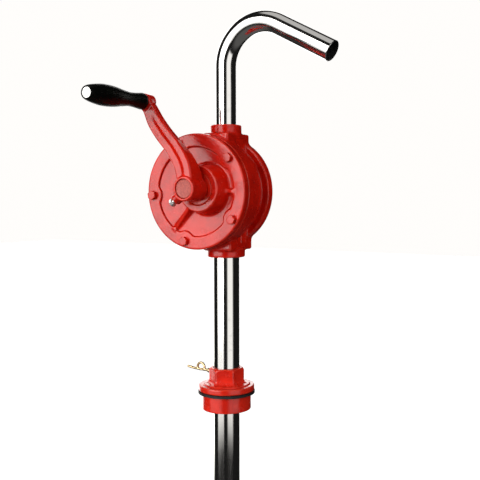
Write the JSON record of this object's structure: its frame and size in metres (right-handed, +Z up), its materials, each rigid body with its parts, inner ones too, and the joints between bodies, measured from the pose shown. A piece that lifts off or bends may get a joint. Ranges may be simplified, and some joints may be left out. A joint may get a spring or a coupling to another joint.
{
  "type": "drum barrel pump",
  "caption": "Hand-crank rotary vane pump that screws into a drum's bung and lifts liquid through a suction tube to a bent spout.",
  "frame": {"origin": "centre of the bung adapter's threaded spigot, level with the face of its flange that sits on the drum", "axes": "+Z up along the suction tube; +X the way the discharge spout points; the crank and the pump's front face point to -Y"},
  "size_m": [0.2294, 0.2194, 1.2629],
  "materials": {
    "red_enamel": "glossy red enamel over rough casting",
    "adapter_enamel": "red enamel",
    "bright_tube": "bright plated",
    "zinc_steel": "zinc plated",
    "machined_iron": "machined",
    "bronze": "machined",
    "pale_brass": "satin",
    "black_plastic": "glossy",
    "black_rubber": "matt",
    "gasket_sheet": "matt",
    "packing_cord": "matt",
    "vane_composite": "machined"
  },
  "bodies": {
    "adapter": {"bung_adapter": "adapter_enamel", "bung_gasket": "black_rubber"},
    "clamp": {"clamp_screw": "pale_brass"},
    "pump": {"pump_body": "red_enamel", "front_cover": "red_enamel", "cover_gasket": "gasket_sheet", "cover_bolt_1": "red_enamel", "cover_bolt_2": "red_enamel", "cover_bolt_3": "red_enamel", "cover_bolt_4": "red_enamel", "cover_bolt_5": "red_enamel", "shaft_bush": "bronze", "shaft_packing": "packing_cord", "gland_nut": "red_enamel", "discharge_spout": "bright_tube", "suction_tube_upper": "bright_tube", "suction_tube_middle": "bright_tube", "suction_tube_lower": "bright_tube", "tube_socket_upper": "zinc_steel", "tube_socket_lower": "zinc_steel"},
    "crank": {"crank_arm": "red_enamel", "crank_set_screw": "zinc_steel", "rotor_shaft": "machined_iron", "handle_spindle": "zinc_steel", "spindle_nut": "zinc_steel", "vane_spring_front": "zinc_steel", "vane_spring_rear": "zinc_steel"},
    "grip": {"handle_grip": "black_plastic"},
    "vane_a": {"vane_upper": "vane_composite"},
    "vane_b": {"vane_lower": "vane_composite"}
  },
  "joints": [
    {"name": "pump_height", "type": "slide", "parent": "adapter", "child": "pump", "axis": [0, 0, 1], "range_m": [-0.125, 0.1]},
    {"name": "clamp_turn", "type": "hinge", "parent": "adapter", "child": "clamp", "pos_m": [0, 0, 0.02], "axis": [-0.994, 0.1097, 0], "continuous": true},
    {"name": "crank_turn", "type": "hinge", "parent": "pump", "child": "crank", "pos_m": [0, 0, 0.245], "axis": [0, 1, 0], "continuous": true},
    {"name": "grip_spin", "type": "hinge", "parent": "crank", "child": "grip", "pos_m": [-0.0544, -0.0912, 0.344], "axis": [0, -1, 0], "continuous": true},
    {"name": "vane_upper_slide", "type": "slide", "parent": "crank", "child": "vane_a", "axis": [0, 0, 1], "range_m": [0, 0.009]},
    {"name": "vane_lower_slide", "type": "slide", "parent": "crank", "child": "vane_b", "axis": [0, 0, -1], "range_m": [0, 0.009]}
  ]
}
